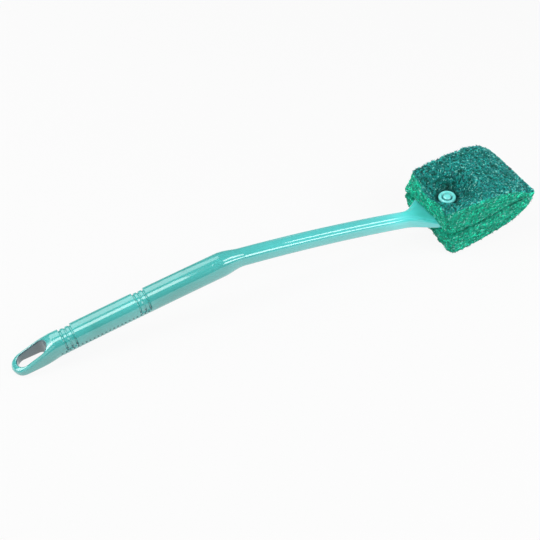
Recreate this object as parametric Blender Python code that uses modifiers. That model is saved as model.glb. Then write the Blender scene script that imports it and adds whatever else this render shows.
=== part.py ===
"""Long-handled aquarium scrubber: a folded scouring pad pinned over a blade by a two-piece snap.

The pieces are laid out along the handle: +X runs from the hanging eye to the pad, Y is the
width and the blade is flat in its own XY plane, with the snap's axis at its origin. An empty
carries that layout and lays the brush down on its grip end and on the pad's lower back edge.
"""

import math

import bmesh
import bpy
from mathutils import Matrix, Vector

# Centre line of the handle, from the snap's axis back to the eye
NECK_RUN = 0.0280
SHAFT_RUN = 0.1545
GRIP_RUN = 0.1595
SHAFT_RISE = 0.0452
NECK_RISE = 0.0006
GRIP_DROP = 0.0065
SHAFT_ARCH = 0.0026
GRIP_ARCH = 0.0008
NECK_BLEND = 0.0120
BEND_BLEND = 0.0090

# Sections of the handle
GRIP_WIDTH = 0.0154
GRIP_HEIGHT = 0.0160
SHAFT_WIDTH = 0.0118
SHAFT_HEIGHT = 0.0110
TAPER_RUN = 0.0170
SPINE_STEP = 0.0014
SPINE_START = 0.0360
SPINE_GROWTH = 0.0900

# Grip rings and ribs
RIB_PITCH = 0.00281
RIB_COUNT = 23
RIB_GROOVE = 0.0013
RIB_DEPTH = 0.0009
RING_GROOVE = 0.0017
RING_DEPTH = 0.0012
RING_PITCH = 0.0036
RING_COUNT = 3
FIRST_RIB_BACK = 0.0321
BACK_RINGS = 0.0364
FRONT_RINGS = 0.0889

# Hanging eye
EYE_WIDTH = 0.0160
EYE_THICKNESS = 0.0112
EYE_SLOPE = math.radians(17.6)
EYE_EDGE = 0.0040
EYE_LIFT = 0.0014
SLOT_LENGTH = 0.0208
SLOT_WIDTH = 0.0106
SLOT_WALL = 0.0042

# Blade inside the pad
BLADE_WIDTH = 0.0420
BLADE_THICKNESS = 0.0032
BLADE_REACH = 0.0480
BLADE_CORNER = 0.0110
FLARE_BACK = 0.0100
FLARE_RUN = 0.0340

# Scouring pad: one strip folded over the blade's end
PAD_WIDTH = 0.0590
PAD_BACK = 0.0190
NOSE_THICKNESS = 0.0130
PAD_ABOVE = 0.0230
PAD_BELOW = 0.0225
PAD_SKEW = 0.0066
PAD_LEAN = 0.0042
PAD_UNDERCUT = 0.0050
PAD_CROWN = 0.0010
PAD_EDGE = 0.0012
PAD_DRAW = 0.0010
NOSE_HEIGHT = 0.0080
NOSE_BULGE = 0.0022
FOLD_GAP = 0.0007
FOLD_INSET = 0.0008
FOLD_RISE = 0.0050
FOLD_MOUTH = 0.0034
FOLD_MOUTH_RUN = 0.0150
FOLD_MOUTH_REACH = 0.0010
FOLD_ROOT = 0.0060
TUFT_INNER = 0.0102
TUFT_OUTER = 0.0270
UNDER_TUFT_OUTER = 0.0185
REST_FLAT = 0.0008

# Snap: a stud from below and a ring that presses on it from above
SNAP_SPAN = 0.0132
STUD_RADIUS = 0.0032
STUD_CROWN = 0.0023
CAP_RADIUS = 0.0067
CAP_THICKNESS = 0.0021
CAP_ROUND = 0.0009
WELL_RADIUS = 0.0044
WELL_DEPTH = 0.0012

# Clearances and cutter overrun
CLEARANCE = 0.0003
PAD_CLEARANCE = 0.0004
OVERRUN = 0.0200
STATION_GAP = 0.0001

# Shares that shape an outline: of a half width for a section, of a run for the pad
TOP_SHARES = (0, 0.25, 0.46, 0.50, 0.72, 0.88, 0.965, 1)
BOTTOM_SHARES = (0.965, 0.88, 0.70, 0.40, 0)
SPINE_EDGE_SHARE = 0.48
LEDGE_END_SHARE = 0.80
RIB_REACH_SHARE = 0.75
RING_REACH_SHARE = -0.55
GROOVE_FLOOR_SHARE = 0.50
GRIP_POWER = 2.7
SHAFT_POWER = 3.0
EYE_POWER = 3.6
BLADE_POWER = 7.0
UPPER_NOSE_POWER = 3.2
LOWER_NOSE_POWER = 2.35
PAD_NOSE_ROOT = 0.556
PAD_LENGTH_SHARES = (0, 0.07, 0.15, 0.23, 0.31, 0.39, 0.47, 0.56, 0.65, 0.74, 0.83, 0.91, 0.97, 1)
EDGE_SHARE = 0.8
STUD_SHOULDER_SHARE = 0.85
FREE_END_SHARE = 0.45
NOSE_TWIST_SHARE = 0.55
PAD_WIDTH_CUTS = 10
FOLD_CUTS = 5
POCKET_CUTS = 5
PAD_SIDE_CUTS = 3
ROUND_STEPS = 40
EYE_CUTS = 5
EYE_END_ANGLES = (14, 30, 46, 62, 76, 90)
BLADE_CORNER_ANGLES = (0, 25, 45, 62, 76)
POCKET_CORNER_ANGLES = (36, 70)
LAY_PASSES = 12
FLOOR_SPAN = 4

TIP_X = -NECK_RUN - SHAFT_RUN - GRIP_RUN
BEND_X = -NECK_RUN - SHAFT_RUN
SEAT = SNAP_SPAN / 2
PAD_REACH = BLADE_REACH + NOSE_THICKNESS


def clear_scene():
    for old in list(bpy.data.objects):
        bpy.data.objects.remove(old, do_unlink=True)


def material(name, colour, roughness, metallic=0.0):
    """One Principled finish."""
    made = bpy.data.materials.new(name)
    made.use_nodes = True
    shader = made.node_tree.nodes["Principled BSDF"]
    shader.inputs["Base Color"].default_value = (*colour, 1.0)
    shader.inputs["Roughness"].default_value = roughness
    shader.inputs["Metallic"].default_value = metallic
    made.diffuse_color = (*colour, 1.0)
    return made


def smoothstep(low, high, value):
    share = min(max((value - low) / (high - low), 0.0), 1.0)
    return share * share * (3.0 - 2.0 * share)


def mix(first, second, share):
    return first + (second - first) * share


def new_object(name, mesh, collection):
    made = bpy.data.objects.new(name, mesh)
    collection.objects.link(made)
    return made


def mesh_from(bm, name):
    """The bmesh as a mesh of flat triangles, which cuts meet cleanly."""
    bmesh.ops.recalc_face_normals(bm, faces=bm.faces)
    bmesh.ops.triangulate(bm, faces=bm.faces)
    mesh = bpy.data.meshes.new(name)
    bm.to_mesh(mesh)
    bm.free()
    return mesh


def centre_raw(x):
    """Height of the handle's centre line before its corners are blended."""
    if x <= BEND_X:
        share = (x - TIP_X) / GRIP_RUN
        return SHAFT_RISE - GRIP_DROP * (1 - share) + 4 * GRIP_ARCH * share * (1 - share)
    if x <= -NECK_RUN:
        share = (x - BEND_X) / SHAFT_RUN
        return mix(SHAFT_RISE, NECK_RISE, share) + 4 * SHAFT_ARCH * share * (1 - share)
    return 0.0


def blended(x, corner, reach):
    """The centre line with one corner replaced by a parabola from corner - reach to corner + reach."""
    share = (x - corner + reach) / (2 * reach)
    start = centre_raw(corner - reach)
    end = centre_raw(corner + reach)
    return mix(mix(start, centre_raw(corner), share), mix(centre_raw(corner), end, share), share)


def centre(x):
    if abs(x - BEND_X) < BEND_BLEND:
        return blended(x, BEND_X, BEND_BLEND)
    if abs(x + NECK_RUN) < NECK_BLEND:
        return blended(x, -NECK_RUN, NECK_BLEND)
    return centre_raw(x)


def upright(x):
    """Unit normal of the centre line in the handle's plane."""
    reach = CLEARANCE
    slope = (centre(x + reach) - centre(x - reach)) / (2 * reach)
    return Vector((-slope, 0.0, 1.0)).normalized()


def super_height(half_height, share, power):
    return half_height * (1 - share ** power) ** (1 / power)


def handle_size(x):
    """Half width, half height, corner power, spine step and rise of the section at x."""
    taper = smoothstep(BEND_X - TAPER_RUN / 2, BEND_X + TAPER_RUN / 2, x)
    flare = smoothstep(-FLARE_BACK / 2 - FLARE_RUN, -FLARE_BACK / 2, x)
    width = mix(GRIP_WIDTH, SHAFT_WIDTH, taper) / 2
    height = mix(GRIP_HEIGHT, SHAFT_HEIGHT, taper) / 2
    power = mix(GRIP_POWER, SHAFT_POWER, taper)
    step = SPINE_STEP * smoothstep(BEND_X + SPINE_START, BEND_X + SPINE_START + SPINE_GROWTH, x)
    width = mix(width, BLADE_WIDTH / 2, flare)
    height = mix(height, BLADE_THICKNESS / 2, flare)
    power = mix(power, BLADE_POWER, flare)
    step = step * (1 - flare)
    corner = x - (BLADE_REACH - BLADE_CORNER)
    if corner > 0:
        width -= BLADE_CORNER - math.sqrt(max(BLADE_CORNER ** 2 - corner ** 2, 0.0))
    return width, height, power, step, 0.0


def eye_size(x):
    """The same for the eye: its top falls to the tip, and its end is round in plan."""
    grip_top = GRIP_HEIGHT / 2
    slot_x = TIP_X + SLOT_WALL + SLOT_LENGTH / 2
    top = EYE_THICKNESS - grip_top + (x - slot_x) * math.tan(EYE_SLOPE)
    bottom = EYE_LIFT * (1 - smoothstep(TIP_X, TIP_X + SLOT_LENGTH, x)) - grip_top
    depth = x - TIP_X
    if depth < EYE_EDGE:
        bottom += EYE_EDGE - math.sqrt(EYE_EDGE ** 2 - (EYE_EDGE - depth) ** 2)
    share = smoothstep(TIP_X + SLOT_LENGTH, TIP_X + FIRST_RIB_BACK, x)
    width = mix(EYE_WIDTH, GRIP_WIDTH, share) / 2
    if depth < EYE_WIDTH / 2:
        width = math.sqrt((EYE_WIDTH / 2) ** 2 - (EYE_WIDTH / 2 - depth) ** 2)
    top = min(top, grip_top)
    power = mix(EYE_POWER, GRIP_POWER, share)
    return width, (top - bottom) / 2, power, 0.0, (top + bottom) / 2


def section(x, groove=0.0, rib=0.0, grow=0.0):
    """Closed outline of the handle at x, as points in space."""
    in_eye = x < TIP_X + FIRST_RIB_BACK
    width, height, power, step, rise = eye_size(x) if in_eye else handle_size(x)
    width += grow
    height += grow
    half = []
    for share in TOP_SHARES:
        drop = 0.0 if share < SPINE_EDGE_SHARE else step
        if share > LEDGE_END_SHARE:
            drop = 0.0
        half.append((share * width, super_height(height, share, power) - drop))
    for share in BOTTOM_SHARES:
        depth = rib if share < RIB_REACH_SHARE else 0.0
        half.append((share * width, depth - super_height(height, share, power)))
    cut = []
    for y, z in half:
        inward = 1 - groove / height if z > RING_REACH_SHARE * height else 1.0
        cut.append((y * inward, z * inward))
    ring = cut + [(-y, z) for y, z in reversed(cut[1:-1])]
    base = Vector((x, 0.0, centre(x)))
    up = upright(x)
    return [base + Vector((0.0, y, 0.0)) + up * (z + rise) for y, z in ring]


def loft(name, rings):
    """A closed skin through rings of equal count, with flat ends."""
    bm = bmesh.new()
    loops = [[bm.verts.new(point) for point in ring] for ring in rings]
    for first, second in zip(loops, loops[1:]):
        for here in range(len(first)):
            there = (here + 1) % len(first)
            bm.faces.new((first[here], first[there], second[there], second[here]))
    bm.faces.new(loops[0])
    bm.faces.new(loops[-1])
    return mesh_from(bm, name)


def eye_stations():
    radius = EYE_WIDTH / 2
    stations = [TIP_X + radius * (1 - math.cos(math.radians(degrees))) for degrees in EYE_END_ANGLES]
    last = TIP_X + FIRST_RIB_BACK - RIB_PITCH / 2
    first = stations[-1]
    stations += [mix(first, last, turn / EYE_CUTS) for turn in range(1, EYE_CUTS + 1)]
    return [(x, 0.0, 0.0) for x in stations]


def groove_depth(x, first, pitch, count, width, depth):
    """Depth at x of a row of grooves with sloping sides."""
    turn = min(max(round((x - first) / pitch), 0), count - 1)
    off = abs(x - first - turn * pitch) / (width / 2)
    return depth * min(max((1 - off) / (1 - GROOVE_FLOOR_SHARE), 0.0), 1.0)


def grip_cuts(x):
    """Ring depth and rib depth at x."""
    rings = [groove_depth(x, TIP_X + start, RING_PITCH, RING_COUNT, RING_GROOVE, RING_DEPTH)
             for start in (BACK_RINGS, FRONT_RINGS)]
    rib = groove_depth(x, TIP_X + FIRST_RIB_BACK, RIB_PITCH, RIB_COUNT, RIB_GROOVE, RIB_DEPTH)
    return max(rings), rib


def grip_stations():
    """A section wherever a groove begins, bottoms or ends."""
    rows = [(FIRST_RIB_BACK, RIB_PITCH, RIB_COUNT, RIB_GROOVE)]
    rows += [(start, RING_PITCH, RING_COUNT, RING_GROOVE) for start in (BACK_RINGS, FRONT_RINGS)]
    places = []
    for start, pitch, count, width in rows:
        for turn in range(count):
            for share in (-1, -GROOVE_FLOOR_SHARE, GROOVE_FLOOR_SHARE, 1):
                places.append(TIP_X + start + turn * pitch + share * width / 2)
    kept = []
    for x in sorted(places):
        if not kept or x - kept[-1] > STATION_GAP:
            kept.append(x)
    return [(x, *grip_cuts(x)) for x in kept]


def even(low, high, count):
    return [(mix(low, high, turn / count), 0.0, 0.0) for turn in range(count)]


def handle_stations():
    ribs_end = TIP_X + FRONT_RINGS + RING_COUNT * RING_PITCH
    taper_start = BEND_X - TAPER_RUN / 2 - CLEARANCE
    taper_end = BEND_X + TAPER_RUN / 2 + CLEARANCE
    flare_start = -FLARE_BACK / 2 - FLARE_RUN
    corner = BLADE_REACH - BLADE_CORNER
    stations = eye_stations() + grip_stations()
    stations += even(ribs_end, taper_start, 3)
    stations += even(taper_start, taper_end, 8)
    stations += even(taper_end, flare_start, 9)
    stations += even(flare_start, -FLARE_BACK / 2, 11)
    stations += even(-FLARE_BACK / 2, corner, 2)
    for degrees in BLADE_CORNER_ANGLES:
        stations.append((corner + BLADE_CORNER * math.sin(math.radians(degrees)), 0.0, 0.0))
    return stations


def stadium_cutter(name, x, length, width, height, collection):
    """A round-ended slot as a flat outline with thickness, made a mesh for cutting."""
    curve = bpy.data.curves.new(name, "CURVE")
    curve.dimensions = "2D"
    curve.fill_mode = "BOTH"
    curve.extrude = height
    radius = width / 2
    straight = length / 2 - radius
    points = []
    for side in (1, -1):
        for degrees in range(-90, 91, 15):
            angle = math.radians(degrees)
            points.append((side * (straight + radius * math.cos(angle)), side * radius * math.sin(angle)))
    spline = curve.splines.new("POLY")
    spline.points.add(len(points) - 1)
    for point, (px, py) in zip(spline.points, points):
        point.co = (px, py, 0.0, 1.0)
    spline.use_cyclic_u = True
    drawn = bpy.data.objects.new(name, curve)
    collection.objects.link(drawn)
    bpy.context.view_layer.update()
    mesh = bpy.data.meshes.new_from_object(drawn.evaluated_get(bpy.context.evaluated_depsgraph_get()))
    bpy.data.objects.remove(drawn, do_unlink=True)
    bm = bmesh.new()
    bm.from_mesh(mesh)
    bmesh.ops.remove_doubles(bm, verts=bm.verts, dist=CLEARANCE / 10)
    bmesh.ops.recalc_face_normals(bm, faces=bm.faces)
    bm.to_mesh(mesh)
    bm.free()
    cutter = new_object(name, mesh, collection)
    cutter.location = (x, 0.0, centre(x))
    return hide_cutter(cutter)


def hide_cutter(cutter):
    cutter.hide_render = True
    cutter.display_type = "WIRE"
    return cutter


def post_cutter(name, radius, reach, collection):
    """A round hole on the snap's axis."""
    bm = bmesh.new()
    bmesh.ops.create_cone(bm, cap_ends=True, segments=ROUND_STEPS, radius1=radius, radius2=radius,
                          depth=2 * reach)
    return hide_cutter(new_object(name, mesh_from(bm, name), collection))


def cut(target, cutter, name):
    boolean = target.modifiers.new(name, "BOOLEAN")
    boolean.operation = "DIFFERENCE"
    boolean.object = cutter
    boolean.solver = "EXACT"


def make_handle(collection, cutters):
    """Grip, shaft and blade, moulded in one."""
    rings = [section(x, groove, rib) for x, groove, rib in handle_stations()]
    handle = new_object("handle", loft("handle", rings), collection)
    slot_x = TIP_X + SLOT_WALL + SLOT_LENGTH / 2
    slot = stadium_cutter("eye_slot", slot_x, SLOT_LENGTH, SLOT_WIDTH, GRIP_HEIGHT, cutters)
    hole = post_cutter("blade_hole", STUD_RADIUS + CLEARANCE, BLADE_THICKNESS, cutters)
    cut(handle, slot, "Eye slot")
    cut(handle, hole, "Post hole")
    return handle


def pad_height(x, above):
    """The pad's reach above or below the blade: thick at the free ends, round at the fold."""
    share = min(max((x + PAD_BACK) / (PAD_REACH + PAD_BACK), 0.0), 1.0)
    power = UPPER_NOSE_POWER if above else LOWER_NOSE_POWER
    full = PAD_ABOVE if above else PAD_BELOW
    return max(full * (1 - share ** power) ** PAD_NOSE_ROOT, NOSE_HEIGHT / 2)


def fold_height(x):
    """Height of the fold's crease, which climbs a little towards the nose."""
    return FOLD_RISE * smoothstep(0.0, PAD_REACH, x)


def pad_point(along, across, level):
    """A point of the pad: along 0 to 1 from the free ends, across and level -1 to 1."""
    nose = PAD_REACH - NOSE_BULGE
    station = mix(-PAD_BACK, nose, along)
    free = 1 - smoothstep(0.0, FREE_END_SHARE, along)
    shift = PAD_SKEW * across * level if level > 0 else -PAD_UNDERCUT * level
    x = station + shift * free
    draw = PAD_DRAW * (1 - smoothstep(0.0, TUFT_OUTER, abs(x))) * (1 - abs(level))
    y = across * (PAD_WIDTH / 2 - draw)
    crown = PAD_CROWN * (1 - across * across) * (1 - along)
    edge = PAD_EDGE * smoothstep(EDGE_SHARE, 1.0, abs(across))
    lean = PAD_LEAN * across * mix(1, -NOSE_TWIST_SHARE, along) if level > 0 else 0.0
    surface = pad_height(station, level > 0) + crown - edge - lean
    outer = TUFT_OUTER if level > 0 else UNDER_TUFT_OUTER
    pull = 1 - smoothstep(TUFT_INNER, outer, math.hypot(x, y))
    surface = mix(surface, SEAT - CLEARANCE, pull)
    climb = fold_height(x) * smoothstep(BLADE_REACH, nose, x)
    bulge = NOSE_BULGE * (1 - level * level) if along == 1 else 0.0
    return Vector((x + bulge, y, level * surface + climb * (1 - abs(level))))


def split(bm, counts):
    """Cut a cube into a grid with so many cuts along each of its axes."""
    for axis, count in enumerate(counts):
        along_axis = [edge for edge in bm.edges
                      if abs((edge.verts[1].co - edge.verts[0].co).normalized()[axis]) > 0.5]
        if count:
            bmesh.ops.subdivide_edges(bm, edges=along_axis, cuts=count, use_grid_fill=True)


def pad_skin():
    """A block of cuts, one for each share of the length, moved to the pad's shape."""
    bm = bmesh.new()
    bmesh.ops.create_cube(bm, size=2.0)
    last = len(PAD_LENGTH_SHARES) - 1
    split(bm, (last - 1, PAD_WIDTH_CUTS, PAD_SIDE_CUTS))
    for vert in bm.verts:
        turn = round((vert.co.x + 1) / 2 * last)
        vert.co = pad_point(PAD_LENGTH_SHARES[turn], vert.co.y, vert.co.z)
    return mesh_from(bm, "scouring_pad")


def fold_cutter(collection):
    """The slit between the strip's two layers: open at the free ends, and climbing at the sides."""
    inner = -PAD_BACK + FOLD_MOUTH_RUN
    root = PAD_REACH - FOLD_ROOT
    places = [-PAD_BACK - OVERRUN, -PAD_BACK - FOLD_MOUTH_REACH]
    places += [mix(inner, root, turn / FOLD_CUTS) for turn in range(FOLD_CUTS + 1)]
    half = PAD_WIDTH / 2
    inside = BLADE_WIDTH / 2 + FOLD_INSET
    rows = (-half - OVERRUN, -half, -inside, inside, half, half + OVERRUN)
    bm = bmesh.new()
    bmesh.ops.create_cube(bm, size=2.0)
    split(bm, (len(places) - 2, len(rows) - 2, 0))
    for vert in bm.verts:
        x = places[round((vert.co.x + 1) / 2 * (len(places) - 1))]
        y = rows[round((vert.co.y + 1) / 2 * (len(rows) - 1))]
        gap = mix(FOLD_MOUTH, FOLD_GAP, smoothstep(-PAD_BACK, inner, x))
        lift = fold_height(x) if abs(y) >= half else 0.0
        vert.co = Vector((x, y, lift + vert.co.z * gap / 2))
    return hide_cutter(new_object("fold", mesh_from(bm, "fold"), collection))


def blade_pocket(collection):
    """The handle's blade and neck, grown by the pad's clearance."""
    start = -PAD_BACK - OVERRUN
    corner = BLADE_REACH - BLADE_CORNER
    stations = [mix(start, -FLARE_BACK / 2, turn / POCKET_CUTS) for turn in range(POCKET_CUTS)]
    stations += [-FLARE_BACK / 2, corner]
    rings = [section(x, grow=PAD_CLEARANCE) for x in stations]
    for degrees in POCKET_CORNER_ANGLES:
        x = corner + BLADE_CORNER * math.sin(math.radians(degrees))
        ring = section(x, grow=PAD_CLEARANCE)
        rings.append([point + Vector((PAD_CLEARANCE, 0.0, 0.0)) for point in ring])
    return hide_cutter(new_object("blade_pocket", loft("blade_pocket", rings), collection))


def make_pad(collection, cutters):
    """The folded scouring strip, drawn down where the snap pins it."""
    pad = new_object("scouring_pad", pad_skin(), collection)
    reach = PAD_ABOVE + PAD_BELOW
    cut(pad, blade_pocket(cutters), "Blade pocket")
    cut(pad, fold_cutter(cutters), "Fold")
    cut(pad, post_cutter("pad_hole", STUD_RADIUS + PAD_CLEARANCE, reach, cutters), "Post hole")
    return pad


def turned(name, profile, collection):
    """A profile in the XZ plane spun round the snap's axis."""
    bm = bmesh.new()
    verts = [bm.verts.new((radius, 0.0, height)) for radius, height in profile]
    closed = profile[0][0] > 0
    for first, second in zip(verts, verts[1:]):
        bm.edges.new((first, second))
    if closed:
        bm.edges.new((verts[-1], verts[0]))
    mesh = bpy.data.meshes.new(name)
    bm.to_mesh(mesh)
    bm.free()
    made = new_object(name, mesh, collection)
    screw = made.modifiers.new("Turn", "SCREW")
    screw.steps = ROUND_STEPS
    screw.render_steps = ROUND_STEPS
    screw.use_merge_vertices = True
    screw.merge_threshold = CLEARANCE / 30
    return made


def make_ring(collection):
    """The washer-like ring that shows on the pad, with a well round the stud's tip."""
    top = SEAT + CAP_THICKNESS
    bore = STUD_RADIUS + CLEARANCE
    crest = (WELL_RADIUS + CAP_RADIUS) / 2
    profile = (
        (WELL_RADIUS, top - CAP_ROUND / 3),
        (crest, top),
        (CAP_RADIUS - CAP_ROUND / 2, top - CAP_ROUND / 3),
        (CAP_RADIUS, top - CAP_ROUND),
        (CAP_RADIUS, SEAT + CAP_ROUND / 3),
        (CAP_RADIUS - CAP_ROUND / 3, SEAT),
        (bore, SEAT),
        (bore, top - WELL_DEPTH),
        (WELL_RADIUS, top - WELL_DEPTH),
    )
    return turned("snap_ring", profile, collection)


def make_stud(collection):
    """The stud: a button under the pad and a post through pad, blade and ring."""
    tip = SEAT + STUD_CROWN
    base = -SEAT - CAP_THICKNESS
    profile = (
        (0.0, tip),
        (STUD_RADIUS / 2, tip - CAP_ROUND / 6),
        (STUD_RADIUS * STUD_SHOULDER_SHARE, tip - CAP_ROUND / 2),
        (STUD_RADIUS, tip - CAP_ROUND),
        (STUD_RADIUS, -SEAT),
        (CAP_RADIUS - CAP_ROUND / 3, -SEAT),
        (CAP_RADIUS, -SEAT - CAP_ROUND / 3),
        (CAP_RADIUS, base + CAP_ROUND),
        (CAP_RADIUS - CAP_ROUND / 2, base + CAP_ROUND / 3),
        (CAP_RADIUS / 2, base),
        (0.0, base),
    )
    return turned("snap_stud", profile, collection)


def lowest_after(point_list, pitch):
    """Least height of some points of the XZ plane once they are turned nose up by pitch."""
    return min(z * math.cos(pitch) + x * math.sin(pitch) for x, z in point_list)


def evaluated_points(made):
    graph = bpy.context.evaluated_depsgraph_get()
    ready = made.evaluated_get(graph)
    mesh = ready.to_mesh()
    points = [(vert.co.x, vert.co.z) for vert in mesh.vertices]
    ready.to_mesh_clear()
    return points


def lie_down(pieces, handle, pad, cutters):
    """Turn the whole layout until the grip's end and the pad's back edge share one floor."""
    bpy.context.view_layer.update()
    handle_points = evaluated_points(handle)
    pad_points = evaluated_points(pad)
    pitch = math.atan2(SHAFT_RISE + PAD_BELOW, SHAFT_RUN + GRIP_RUN)
    for _ in range(LAY_PASSES):
        gap = lowest_after(handle_points, pitch) - (lowest_after(pad_points, pitch) + REST_FLAT)
        pitch += gap / (SHAFT_RUN + GRIP_RUN)
    floor = lowest_after(handle_points, pitch)
    ends = [x * math.cos(pitch) - z * math.sin(pitch) for x, z in handle_points + pad_points]
    lay = bpy.data.objects.new("lay_down", None)
    cutters.objects.link(lay)
    lay.rotation_euler = (0.0, -pitch, 0.0)
    lay.location = (-(min(ends) + max(ends)) / 2, 0.0, -floor)
    for piece in pieces:
        piece.parent = lay
    return lay


def floor_cutter(collection):
    """A block under the floor that trims the pad's resting edge flat."""
    reach = PAD_WIDTH
    bm = bmesh.new()
    bmesh.ops.create_cube(bm, size=1.0)
    bmesh.ops.scale(bm, vec=(FLOOR_SPAN * reach, 2 * reach, reach), verts=bm.verts)
    bmesh.ops.translate(bm, vec=(FLOOR_SPAN * reach / 2, 0.0, -reach / 2), verts=bm.verts)
    return hide_cutter(new_object("floor_block", mesh_from(bm, "floor_block"), collection))


def collection_named(name):
    made = bpy.data.collections.new(name)
    bpy.context.scene.collection.children.link(made)
    return made


def main():
    clear_scene()
    pieces = collection_named("aquarium_scrubber")
    cutters = collection_named("cutters")
    teal = material("handle_plastic", (0.085, 0.500, 0.465), 0.28)
    green = material("scouring_fibre", (0.015, 0.215, 0.165), 0.95)
    bright = material("snap_plastic", (0.130, 0.780, 0.740), 0.25)
    handle = make_handle(pieces, cutters)
    pad = make_pad(pieces, cutters)
    ring = make_ring(pieces)
    stud = make_stud(pieces)
    for piece, finish in ((handle, teal), (pad, green), (ring, bright), (stud, bright)):
        piece.data.materials.append(finish)
    carried = [handle, pad, ring, stud] + [item for item in cutters.objects]
    lie_down(carried, handle, pad, cutters)
    cut(pad, floor_cutter(cutters), "Resting edge")
    for piece in (handle, ring, stud):
        piece.data.shade_smooth()
        piece.data.set_sharp_from_angle(angle=math.radians(35))


main()
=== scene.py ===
"""Looks of an aquarium scrubber: a cranked plastic handle with a folded scouring pad snapped to its blade.

Everything is made in the head's own layout, +X along the handle and the snap's axis at the origin,
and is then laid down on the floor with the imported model.
"""
import random
from math import ceil, copysign, cos, dist, hypot, pi, radians, sin, sqrt, tan

import bmesh
import bpy
from bpy.props import FloatProperty, FloatVectorProperty, IntProperty, PointerProperty
from mathutils import Euler, Matrix, Vector, noise


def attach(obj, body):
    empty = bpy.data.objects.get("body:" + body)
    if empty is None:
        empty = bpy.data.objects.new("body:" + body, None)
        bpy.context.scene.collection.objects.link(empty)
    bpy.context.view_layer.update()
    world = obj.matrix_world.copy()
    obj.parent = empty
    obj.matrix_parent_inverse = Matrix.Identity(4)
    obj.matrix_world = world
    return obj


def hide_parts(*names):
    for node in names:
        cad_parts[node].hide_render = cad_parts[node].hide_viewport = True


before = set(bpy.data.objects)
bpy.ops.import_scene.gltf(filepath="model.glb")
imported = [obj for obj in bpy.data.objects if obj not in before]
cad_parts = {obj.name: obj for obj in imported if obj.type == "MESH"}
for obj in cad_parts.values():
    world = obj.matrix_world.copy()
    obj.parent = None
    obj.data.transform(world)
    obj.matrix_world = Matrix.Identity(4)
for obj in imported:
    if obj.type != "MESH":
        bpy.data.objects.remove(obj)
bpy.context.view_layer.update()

bl_info = {
    "name": "Aquarium scrubber",
    "version": (1, 0, 0),
    "blender": (4, 5, 0),
    "location": "3D Viewport > Sidebar > Scrubber",
    "description": "Dresses the packed scrubber for a studio picture",
    "category": "Object",
}

# How the head's layout lies in the row frame
SNAP_PLACE = (0.1417664, 0.0, 0.0245021)
NOSE_UP = radians(9.600686)
LAID_DOWN = Matrix.Translation(SNAP_PLACE) @ Matrix.Rotation(-NOSE_UP, 4, "Y")

# Distance under which corners are welded
WELD = 1e-6

# Centre line of the handle, as the solids have it
NECK_RUN = 0.0280
SHAFT_RUN = 0.1545
GRIP_RUN = 0.1595
SHAFT_RISE = 0.0452
NECK_RISE = 0.0006
GRIP_DROP = 0.0065
SHAFT_ARCH = 0.0026
GRIP_ARCH = 0.0008
NECK_BLEND = 0.0120
BEND_BLEND = 0.0090
TIP_X = -NECK_RUN - SHAFT_RUN - GRIP_RUN
BEND_X = -NECK_RUN - SHAFT_RUN
SLOPE_STEP = 0.0003

# Sections of the handle
HANDLE_SIDES = 160
TAPER_RUN = 0.0170
SPINE_START = 0.0100
SPINE_GROWTH = 0.0550
SPINE_EDGE = (0.37, 0.50)
LEDGE_EDGE = (0.50, 0.86, 1.0)
LEDGE_RISE = 0.85
BAR_START = -0.0150
BAR_END = 0.0085
BAR_ENDS = (0.0010, 0.0015)
BAR_PROFILE = (
    (-0.42, 0.0), (-0.47, 0.0004), (-0.60, 0.0), (-0.80, 0.0004), (-0.96, 0.0006), (-0.99, 0.0),
)
GRIP_POWER = 2.7
SHAFT_POWER = 3.0
EYE_POWER = 3.6
BLADE_POWER = 7.0
BLADE_WIDTH = 0.0420
BLADE_THICKNESS = 0.0032
BLADE_REACH = 0.0480
BLADE_CORNER = 0.0110
FLARE_BACK = 0.0100
FLARE_RUN = 0.0340

# Rings and ribs of the grip
GROOVE_FLOOR = 0.35
RIB_PITCH = 0.00281
RIB_COUNT = 23
RIB_GROOVE = 0.0013
RIB_DEPTH = 0.0009
RIB_TOP = (0.20, 0.28)
RIB_END = (0.40, 0.50)
RIB_FADE = 0.85
FIRST_RIB_BACK = 0.0321
RING_GROOVE = 0.0017
RING_PITCH = 0.0035
RING_COUNT = 3
RING_STARTS = (0.0364, 0.0889)
RING_END = (-0.24, -0.10)
RING_SHADE = (-0.10, 0.20)
GROOVE_SHADE = 0.8
RIDGE_DROP = 0.0007

# Hanging eye
EYE_WIDTH = 0.0160
EYE_THICKNESS = 0.0112
EYE_SLOPE = radians(17.6)
EYE_EDGE = 0.0040
EYE_TOP_EDGE = 0.0022
EYE_LIFT = 0.0014
SLOT_LENGTH = 0.0208
SLOT_WIDTH = 0.0106
SLOT_WALL = 0.0042
SLOT_X = TIP_X + SLOT_WALL + SLOT_LENGTH / 2
SLOT_SHADE = 0.0004
SLOT_SIDES = 96
SLOT_OVERRUN = 1.15
EYE_INSET = 0.0005

# Scouring pad
PAD_BACK = 0.0190
PAD_REACH = 0.0610
PAD_SKEW = 0.0066
PAD_LEAN = 0.0042
PAD_UNDERCUT = 0.0050
PAD_CROWN = 0.0010
PAD_EDGE = 0.0012
PAD_EDGE_FROM = 0.8
NOSE_ROOT = 0.556
UPPER_POWER = 3.2
LOWER_POWER = 2.7
LOWER_ROOT = 0.50
NOSE_TWIST = 0.70
NOSE_TRIM = 0.0024
SIDE_BUNCH = 0.0005
FAR_BUNCH = 0.0015
END_BUNCH = 0.0018
PAD_FLOOR = 0.0002
FREE_END = 0.45
FOLD_RISE = 0.0050
FOLD_GAP = 0.0007
FOLD_MOUTH = 0.0034
FOLD_MOUTH_RUN = 0.0150
BLADE_GAP = 0.0007
NOSE_CLIMB_REACH = 0.0080
TUFT_FLAT = 0.0079
TUFT_STEEP = (0.75, 0.66)
INNER_EDGE = 0.55
PAD_CELLS = (300, 96, 26)
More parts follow.
